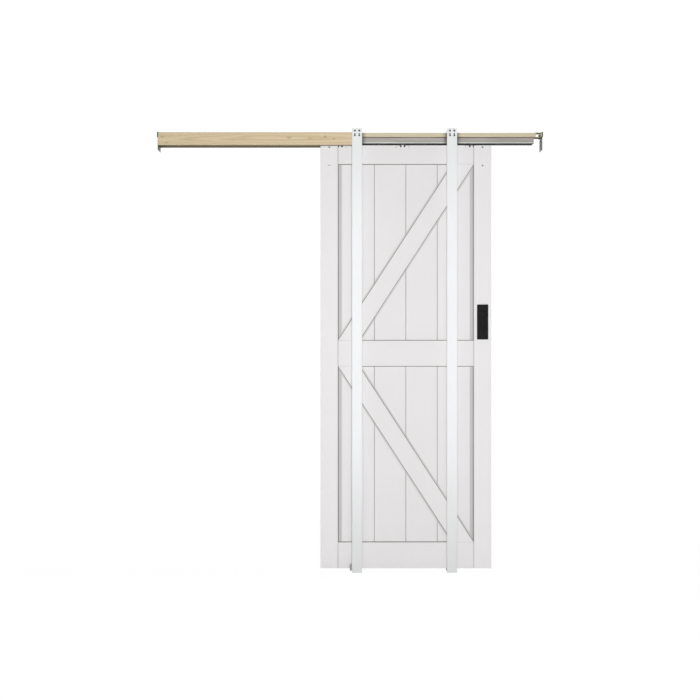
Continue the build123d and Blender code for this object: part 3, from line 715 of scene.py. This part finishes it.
def zinc_steel():
    """Plated sheet gone dull: olive about the cup, grey on the tab, and a painted pale sheen in the folds and
    the cup's roof.
    """
    tree, place = new_material("zinc_steel")
    clouds = streaked(tree, place, (40, 40, 40), 0.8)
    grain = streaked(tree, place, (900, 900, 900), 0.8)
    edges = eased(tree, place, 0.0008)
    light, dark = ZINC_OLIVE
    colour = blend_colour(tree, clouds, dark, light)
    level = split(tree, place)["Z"]
    colour = blend_colour(tree, spread(tree, level, CUP_BOTTOM, CUP_BOTTOM - 0.002), colour, ZINC_GREY)
    # Painted pale sheen on the flanges' faces and the cup's roof
    front, back = (facing(tree, (0, side, 0)) for side in BOTH_SIDES)
    inward = spread(tree, off_middle(tree, place, "X"), BRACKET_FACE, BRACKET_FACE - 0.0015)
    sheen_folds = math_node(tree, "MULTIPLY", math_node(tree, "MAXIMUM", front, back), inward)
    above = spread(tree, level, CUP_MIDDLE, CUP_MIDDLE + 0.001)
    sheen_roof = math_node(tree, "MULTIPLY", facing(tree, (0, 0, -1)), above)
    colour = blend_colour(tree, math_node(tree, "MAXIMUM", sheen_folds, sheen_roof), colour, ZINC_SHEEN)
    set_shader(
        tree,
        Base_Color=colour,
        Roughness=between(tree, clouds, 0.7, 0.85),
        Metallic=0.1,
        Specular_IOR_Level=0.08,
        Normal=raised(tree, grain, 0.00002, edges),
    )


def hanger_steel():
    """Plated strip, bright at its ends and dark on its bridge, under the trolley."""
    tree, place = new_material("hanger_steel")
    streaks = streaked(tree, place, (60, 600, 600), 0.8)
    patches = streaked(tree, place, (90, 90, 90), 0.7)
    edges = eased(tree, place, 0.0006)
    bridges = [spot(tree, place, (x, 0, 0), (1, 0, 0), BRIDGE_HALF) for x in HANGERS.values()]
    dark_bridge = spread(tree, combined(tree, "MAXIMUM", bridges), 0.01, 0.1)
    colour = blend_colour(tree, dark_bridge, blend_colour(tree, streaks, *HANGER_GREY), HANGER_DARK)
    set_shader(
        tree,
        Base_Color=colour,
        Roughness=between(tree, patches, 0.45, 0.6),
        Metallic=between(tree, dark_bridge, 0.6, 0.0),
        Specular_IOR_Level=0.15,
        Normal=raised(tree, streaks, 0.00002, edges),
    )


def moulded(name, light, dark, size, smooth, rough):
    """Moulded plastic or rubber: a fine skin and patches of gloss."""
    tree, place = new_material(name)
    skin = streaked(tree, place, (1 / size,) * 3, 0.8)
    patches = streaked(tree, place, (80, 80, 80), 0.7)
    edges = eased(tree, place, 0.0006)
    colour = blend_colour(tree, patches, dark, light)
    finish = between(tree, patches, smooth, rough)
    set_shader(tree, Base_Color=colour, Roughness=finish, Normal=raised(tree, skin, 0.00004, edges))


def brace_line(opening, leans_right):
    """The ends of a brace's centre line, from one corner of its opening to the other."""
    low, high = opening if leans_right else opening[::-1]
    return (LEAF_LEFT + STILE + BRACE_FOOT / 2, 0, low), (LEAF_RIGHT - STILE - BRACE_FOOT / 2, 0, high)


def make_finishes():
    """Every finish, listed by its name."""
    along_x, along_z = (6, 300, 300), (300, 300, 6)
    painted_wood("stile_paint", STILE_PAINT, along_z, holes=True)
    painted_wood("rail_paint", RAIL_PAINT, along_x, shade_marks=True)
    for name, opening, leans in (("upper", UPPER_OPENING, True), ("lower", LOWER_OPENING, False)):
        painted_wood(f"{name}_panel_paint", RAIL_PAINT, along_z, opening, brace_line(opening, leans))
    painted_wood("brace_paint", RAIL_PAINT, (90, 300, 90))
    pine("board_pine", BOARD_PINE, (0, 0.01, 2.17), against_studs=True)
    pine("nailer_pine", NAILER_PINE, (0, 0, 2.185), NAILER_KNOTS, inner_face=NAILER_INNER_FACE)
    white_steel()
    zinc_steel()
    track_metal()
    hanger_steel()
    for name, values in METALS.items():
        metal(name, **values)
    for name, values in MOULDED.items():
        moulded(name, **values)


def finish_for(node):
    """The finish of a CAD node, from its name."""
    if "stile" in node:
        return "stile_paint"
    if node in ("top_rail", "middle_rail", "bottom_rail"):
        return "rail_paint"
    if "panel" in node:
        return f"{node}_paint"
    if "brace" in node:
        return "brace_paint"
    if node == "header_board":
        return "board_pine"
    if node.startswith("header_nailer"):
        return "nailer_pine"
    if node.endswith(("hanger_plate", "hanger_lock")):
        return "hanger_steel"
    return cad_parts[node].material_slots[0].material.name.split(".")[0]


# Turned and threaded pieces, worked out about +Z and then placed

SHARP_ANGLE = math.radians(35)  # edges that turn more stay sharp


def turned(radius, height, angle, closed=False):
    """A turned surface from whole grids: the point of row i and column j is (r cos t, r sin t, h).

    Its rows join in rings. Its first and last rows close in a fan, or on each other where closed.
    """
    rows, sides = radius.shape
    points = np.stack([radius * np.cos(angle), radius * np.sin(angle), height], axis=-1).reshape(-1, 3)
    here = np.arange(rows * sides).reshape(rows, sides)
    ahead = np.roll(here, -1, axis=1)
    below, below_ahead = (np.roll(g, -1, axis=0) for g in (here, ahead))
    last = None if closed else -1
    quads = np.stack([here[:last], ahead[:last], below_ahead[:last], below[:last]], axis=-1).reshape(-1, 4)
    faces = quads.tolist()
    if not closed:
        for row, pole in ((0, len(points)), (-1, len(points) + 1)):
            faces += np.stack([here[row], ahead[row], np.full(sides, pole)], axis=-1).tolist()
        ends = [[0, 0, height[0].mean()], [0, 0, height[-1].mean()]]
        points = np.concatenate([points, ends])
    return points, faces


def grid(radii, heights, sides):
    """Grids of radius, height and angle for a plain turned profile."""
    angle = np.arange(sides) * 2 * np.pi / sides
    radius, turn = np.meshgrid(np.asarray(radii, float), angle, indexing="ij")
    height = np.meshgrid(np.asarray(heights, float), angle, indexing="ij")[0]
    return radius, height, turn


def smooth(value):
    """A step that rises smoothly from 0 at 0 to 1 at 1."""
    value = np.clip(value, 0, 1)
    return value * value * (3 - 2 * value)


def thread(height, angle, pitch):
    """The height of a screw thread's ridge, 1 at its crest, on a helix of that pitch."""
    turn = (height / pitch - angle / (2 * np.pi)) % 1.0
    return 1 - np.abs(2 * turn - 1)


def placed(points, origin, direction):
    """Points turned so that +Z lies along direction, and moved to origin."""
    along = np.array(direction, float)
    side = np.array((1.0, 0, 0)) if abs(along[2]) > 0.5 else np.array((0, 0, 1.0))
    first = np.cross(side, along)
    return points @ np.stack([first, np.cross(along, first), along]) + np.array(origin, float)


def gathered(parts):
    """Several surfaces as one: their points, and their faces renumbered."""
    points, faces, count = [], [], 0
    for part_points, part_faces in parts:
        points.append(part_points)
        faces += [[n + count for n in face] for face in part_faces]
        count += len(part_points)
    return np.concatenate(points), faces


def repeated(points, faces, places):
    """One surface at several places, each a point and the way that it faces, as one."""
    return gathered([(placed(points, place, way), faces) for place, way in places])


def add_piece(name, shape, body, slot, stands_for=None, second=None, parts=None):
    """A piece in its slot's finish, which may replace a CAD node; parts is 1 on faces in a second finish."""
    points, faces = shape
    mesh = bpy.data.meshes.new(name)
    mesh.from_pydata(points.tolist(), [], faces)
    mesh.materials.append(FINISH[slot])
    if second:
        mesh.materials.append(FINISH[second])
        mesh.polygons.foreach_set("material_index", parts)
    work = bmesh.new()
    work.from_mesh(mesh)
    bmesh.ops.recalc_face_normals(work, faces=work.faces)
    work.to_mesh(mesh)
    work.free()
    mesh.shade_smooth()
    mesh.set_sharp_from_angle(angle=SHARP_ANGLE)
    piece = bpy.data.objects.new(name, mesh)
    bpy.context.scene.collection.objects.link(piece)
    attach(piece, body)
    if stands_for:
        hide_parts(stands_for)


def screw(length, head_radius, head_height, radius, sunk):
    """A cross-headed screw, its head's top at the origin and its point down.

    The head is a low dome. The cross lies where either offset from the middle is under half a slot, within
    the slots' reach, and is deepest in the middle. The shank's radius is its core plus a ridge on a helix.
    """
    sides, crown_rows, pitch, core = 40, 12, 0.0022, 0.72
    crown = np.linspace(0.08, 1, crown_rows) * head_radius
    dome = 0.0 if sunk else head_height * 0.35
    crown_height = -dome * (crown / head_radius) ** 2
    rim = head_height * 0.2 if sunk else head_height * 0.95
    shank_rows = int((length - head_height) / pitch * 3)
    shank = np.linspace(head_height * 1.02, length - 2.2 * radius, shank_rows)
    radii = np.concatenate([crown, [head_radius], np.full(shank_rows, radius), [radius * 0.15]])
    heights = np.concatenate([crown_height, [-rim], -shank, [-length]])
    r, h, t = grid(radii, heights, sides)
    x, y = np.abs(r * np.cos(t)), np.abs(r * np.sin(t))
    reach, half, depth = head_radius * 0.62, head_radius * 0.13, head_height * 0.55
    upright = smooth((half - x) / half * 2) * smooth((reach - y) / half)
    level = smooth((half - y) / half * 2) * smooth((reach - x) / half)
    cross = np.maximum(upright, level) * depth * (1 - 0.5 * r / head_radius)
    h[:crown_rows] -= cross[:crown_rows]
    rows = slice(crown_rows + 2, crown_rows + shank_rows)
    r[rows] = radius * (core + (1 - core) * thread(h[rows], t[rows], pitch))
    return turned(r, h, t)


def hanger_bolt():
    """A hexagon bolt, head down and thread up, its seat at the origin.

    The head's radius is the hexagon's, half the flats over the cosine of the angle from the nearest flat's
    middle, cut by a cone at its rim. The shank's radius is its core plus a ridge on a helix, fading out at
    both ends.
    """
    sides, pitch, flats, head, radius, length = 48, 0.00125, 0.0055, 0.004, 0.004, 0.026
    thread_depth, fade = 0.0006, 0.002
    head_radii = [0.003, 0.0054, 0.0064, 0.0064, 0.0054]
    head_levels = [-head, -head, -head + 0.0006, -0.0004, 0]
    first, rows = len(head_radii), int(length / pitch * 5)
    levels = np.linspace(0.0002, length - 0.0006, rows)
    radii = np.concatenate([head_radii, np.full(rows, radius), [0.0032]])
    r, h, t = grid(radii, np.concatenate([head_levels, levels, [length]]), sides)
    flat_angle = (t + np.pi / 6) % (np.pi / 3) - np.pi / 6
    r[:first] = np.minimum(r[:first], (flats / np.cos(flat_angle))[:first])
    ridge = thread(h, t, pitch) * smooth(h / fade) * smooth((length - h) / fade)
    body = slice(first, first + rows)
    r[body] = radius - thread_depth * (1 - ridge[body]) * smooth(h[body] / fade)
    return turned(r, h, t)


def wheel():
    """A moulded wheel on a steel sleeve, its axle along +Z, and its faces' materials.

    The profile runs from the bore round the tread, a round groove between two flanges. Five pockets are
    pressed into each flank, their depth a smooth step of cos 5t.
    """
    half, bore, sleeve, rim, bevel, sides = 0.004, 0.00205, 0.0042, 0.011, 0.0005, 60
    running, groove_depth, groove_half = 0.010, 0.001, 0.0023
    pocket_inner, pocket_outer, pocket_depth = 0.0054, 0.0087, 0.0012
    groove = np.linspace(-groove_half, groove_half, 9)
    tread = running + groove_depth * (groove / groove_half) ** 2
    flank = [(bore, -half), (sleeve, -half), (sleeve + 0.0003, -half + bevel), (0.0052, -half + bevel)]
    flank += [(r, -half + 0.0006) for r in (0.0056, 0.0066, 0.0076, 0.0086)]
    flank += [(0.009, -half), (0.0105, -half), (rim, -half + bevel)]
    right = [(r, -y) for r, y in flank[::-1]]
    profile = np.array(flank + list(zip(tread, groove)) + right)
    r, h, t = grid(profile[:, 0], profile[:, 1], sides)
    in_pocket = (r > pocket_inner) & (r < pocket_outer) & (np.abs(h) > 0.003)
    pressed = smooth(np.cos(5 * t) * 2) * in_pocket * pocket_depth
    h = h - np.sign(h) * pressed
    points, faces = turned(r, h, t, closed=True)
    rows = len(profile)
    steel_rows = [0, rows - 2, rows - 1]
    parts = np.repeat(np.isin(np.arange(rows), steel_rows).astype(int), sides)
    return points, faces, parts


def wheel_pair(node, body, x):
    """The two wheels on one axle, as one piece."""
    points, faces, parts = wheel()
    places = [((x, side * WHEEL_MIDDLE, AXLE_LEVEL), (0, side, 0)) for side in BOTH_SIDES]
    shape = repeated(points, faces, places)
    add_piece(f"{node}_moulded", shape, body, "nylon", node, "bright_steel", np.tile(parts, 2))


def bumper(radius, length):
    """A rubber button with a rounded edge and a shallow dished face, its back at the origin."""
    corner, dish, dished, sides = 0.0015, 0.0006, 0.75, 48
    turn = np.linspace(np.pi / 2, 0, 6)
    face = np.linspace(0.1, dished, 5) * radius
    radii = np.concatenate([face, radius - corner + corner * np.cos(turn), [radius, radius * 0.5]])
    face_levels = length - dish * (1 - (face / radius / dished) ** 2)
    heights = np.concatenate([face_levels, length - corner + corner * np.sin(turn), [0, 0]])
    return turned(*grid(radii, heights, sides))


def stud_holes(level, depth=0.0):
    """The studs' holes of one level, at a depth below the sheet's face, and the way that each faces."""
    return [
        ((x + dx, side * (FRAME_FACE - depth), BOARD_TOP + STUD_HOLE_LEVELS[level]), (0, side, 0))
        for x in STUD_CENTRES
        for dx in (-STUD_HOLE_COLUMN, STUD_HOLE_COLUMN)
        for side in BOTH_SIDES
    ]


def dress_fasteners():
    """Every group of screws, with cross heads and threads."""
    up, down = (0, 0, 1), (0, 0, -1)
    x, y, z = PULL_SCREW
    rises = (-PULL_SCREW_RISE, PULL_SCREW_RISE)
    pulls = [((x, side * y, z + rise), (0, side, 0)) for rise in rises for side in BOTH_SIDES]
    ends = (-HANGER_SCREW, HANGER_SCREW)
    hangers = [((x + dx, 0, LEAF_TOP + HANGER_SCREW_RISE), up) for x in HANGERS.values() for dx in ends]
    x, y, z = GUIDE_SCREW
    guides = [((x, side * y, z), (-1, 0, 0)) for side in BOTH_SIDES]
    tracks = [((x, 0, TRACK_TOP - TRACK_SCREW_DROP), down) for x in TRACK_SCREWS]
    stops = [((x, 0, TRACK_TOP - STOP_SCREW_DROP), down) for x in STOP_SCREWS]
    wood = dict(head_radius=0.004, head_height=0.0025, radius=0.002)
    small = dict(head_radius=0.0034, head_height=0.0016, radius=0.0016)
    groups = (
        ("stud_screws", stud_holes(level=0), "frame", "black_metal", dict(wood, length=0.034, sunk=True)),
        ("flush_pull_screws", pulls, "leaf", "black_metal", dict(small, length=0.011, sunk=True)),
        ("hanger_screws", hangers, "leaf", "black_metal", dict(wood, length=0.024, sunk=False)),
        ("guide_screws", guides, "frame", "bright_steel", dict(wood, length=0.015, sunk=True)),
        ("track_screws", tracks, "frame", "bright_steel", dict(wood, length=0.020, sunk=False)),
        ("stop_screws", stops, "frame", "bright_steel", dict(wood, length=0.0415, sunk=False)),
    )
    for node, places, body, slot, form in groups:
        add_piece(f"{node}_crossed", repeated(*screw(**form), places), body, slot, node)


def dress_hangers():
    """The bolts and wheels of the three hangers."""
    bolt = hanger_bolt()
    for side, x in HANGERS.items():
        node = f"{side}_hanger_bolt"
        shape = repeated(*bolt, [((x, 0, LEAF_TOP + HANGER_SEAT), (0, 0, 1))])
        add_piece(f"{node}_threaded", shape, "leaf", "bright_steel", node)
        for row, dx in AXLES.items():
            wheel_pair(f"{side}_trolley_wheels_{row}", f"{side}_wheels_{row}", x + dx)


def dress_stops():
    """The rubber buttons of the track stops."""
    ways = ((1, 0, 0), (-1, 0, 0))
    places = [((x, 0, AXLE_LEVEL), way) for x, way in zip(BUMPER_BACKS, ways)]
    shape = repeated(*bumper(radius=0.007, length=0.006), places)
    add_piece("stop_bumpers_rounded", shape, "frame", "rubber", "stop_bumpers")


def shade_plugs():
    """Black buttons in the top holes of the studs, just below the sheet's face, standing in for the shade
    inside the holes.
    """
    thickness, radius, bevel, sides = 0.0011, 0.0022, 0.0002, 24
    radii = [radius * 0.2, radius * 0.8, radius, radius]
    button = turned(*grid(radii, [0, 0, -bevel, -thickness], sides))
    shape = repeated(*button, stud_holes(level=2, depth=0.00005))
    add_piece("stud_hole_shade_plugs", shape, "frame", "rubber")


def shade_brush_strips():
    """Black strips under the rail's outer edges beside the hangers, standing in for the shade there: their
    section is half a superellipse.
    """
    depth, width, inner, short = 0.005, 0.0048, 0.0135, 0.005  # short of the rail's ends
    turn, power = np.linspace(0, np.pi, 13), 0.35
    across = np.sign(np.cos(turn)) * np.abs(np.cos(turn)) ** power * width / 2
    down = -(np.sin(turn) ** power) * depth
    ends = np.array([-1, 1]) * (TRACK_END - short)
    parts = []
    for side in BOTH_SIDES:
        x, y = np.meshgrid(ends, across + side * (inner + width / 2), indexing="ij")
        z = np.meshgrid(ends, down + TRACK_BOTTOM, indexing="ij")[1]
        points = np.stack([x, y, z], axis=-1).reshape(-1, 3)
        count = len(turn)
        here = np.arange(count)
        ahead = np.roll(here, -1)
        faces = np.stack([here, ahead, ahead + count, here + count], axis=-1).tolist()
        faces += [here.tolist(), (here[::-1] + count).tolist()]
        parts.append((points, faces))
    add_piece("track_shade_brush_strips", gathered(parts), "frame", "rubber")


# The room

GLOW = 1.04  # plain white, with a margin for noise
ROOM_LIGHT = 0.115
FLOOR_HALF = 30.0
# The distances over which the floor loses the object's shadow, and how white it looks at each
SHADOW_FADES = (1.6, 4.0, 0.9, 1.0)
LAMPS = (  # name, place, aim, width, height and watts
    ("front_lamp", (0.22, -4.6, 1.65), (0.22, 0, 1.5), 0.9, 2.3, 143.0),
    ("back_lamp", (0.25, 4.6, 2.4), (0.25, 0, 1.2), 0.9, 2.3, 104.0),
    ("side_lamp_-1", (-4.6, 0, 1.6), (0, 0, 1.3), 0.8, 2.3, 56.0),
    ("side_lamp_1", (4.6, 0, 1.6), (0, 0, 1.3), 0.8, 2.3, 56.0),
    ("top_lamp", (0, 0, 5.2), (0, 0.001, 1.3), 3.0, 0.8, 48.0),
)


def seen_directly(tree):
    """1 on rays from the camera and on clear reflections and transmissions of them."""
    path = add_node(tree, "ShaderNodeLightPath")
    rays = [path.outputs[f"Is {kind} Ray"] for kind in ("Camera", "Glossy", "Transmission")]
    return combined(tree, "MAXIMUM", rays)


def white_to_camera(tree, shader_socket, share):
    """A shader that looks white to the camera and to clear reflections, by a share that keeps its shadows."""
    glow = add_node(tree, "ShaderNodeEmission", {"Color": (1, 1, 1, 1), "Strength": GLOW})
    mix = add_node(tree, "ShaderNodeMixShader", {0: math_node(tree, "MULTIPLY", seen_directly(tree), share)})
    fill(tree, mix.inputs, {1: shader_socket, 2: glow.outputs[0]})
    return mix.outputs[0]


def make_floor():
    """A pale square floor, white to the camera, that keeps the object's shadow within a few metres."""
    corners = [(x * FLOOR_HALF, y * FLOOR_HALF, 0) for x, y in ((-1, -1), (1, -1), (1, 1), (-1, 1))]
    mesh = bpy.data.meshes.new("floor")
    mesh.from_pydata(corners, [], [(0, 1, 2, 3)])
    floor = bpy.data.objects.new("floor", mesh)
    bpy.context.scene.collection.objects.link(floor)
    tree, place = new_material("floor_white")
    share = spread(tree, vector_node(tree, "LENGTH", place), *SHADOW_FADES)
    patches = streaked(tree, place, (2, 2, 2), 0.5)
    colour = blend_colour(tree, patches, rgb(224, 224, 224), rgb(228, 228, 228))
    set_shader(tree, Base_Color=colour, Roughness=0.9)
    white = white_to_camera(tree, tree.nodes["Principled BSDF"].outputs[0], share)
    tree.links.new(white, tree.nodes["Material Output"].inputs["Surface"])
    mesh.materials.append(FINISH["floor_white"])


def light_world():
    """An even pale room, plain white to the camera and to clear reflections."""
    world = bpy.data.worlds.new("room")
    world.use_nodes = True
    bpy.context.scene.world = world
    tree = world.node_tree
    strength = between(tree, seen_directly(tree), ROOM_LIGHT, GLOW)
    fill(tree, tree.nodes["Background"].inputs, {"Color": (1, 1, 1, 1), "Strength": strength})


def add_lamp(name, place, aim, width, height, watts):
    """A soft oblong lamp at a place, turned towards a point."""
    lamp = bpy.data.lights.new(name, "AREA")
    lamp.shape = "RECTANGLE"
    lamp.size, lamp.size_y = width, height
    lamp.energy = watts
    lit = bpy.data.objects.new(name, lamp)
    lit.location = place
    lit.visible_camera = False
    towards = np.array(aim, float) - np.array(place, float)
    flat = math.hypot(towards[0], towards[1])
    turn = math.atan2(towards[1], towards[0]) - math.pi / 2
    lit.rotation_euler = (math.atan2(flat, -towards[2]), 0, turn)
    bpy.context.scene.collection.objects.link(lit)


place_camera()
make_finishes()
for node_name, node_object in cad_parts.items():
    node_object.material_slots[0].material = FINISH[finish_for(node_name)]
dress_fasteners()
dress_hangers()
dress_stops()
shade_plugs()
shade_brush_strips()
make_floor()
light_world()
for lamp_values in LAMPS:
    add_lamp(*lamp_values)
bpy.context.scene.view_settings.view_transform = "Standard"
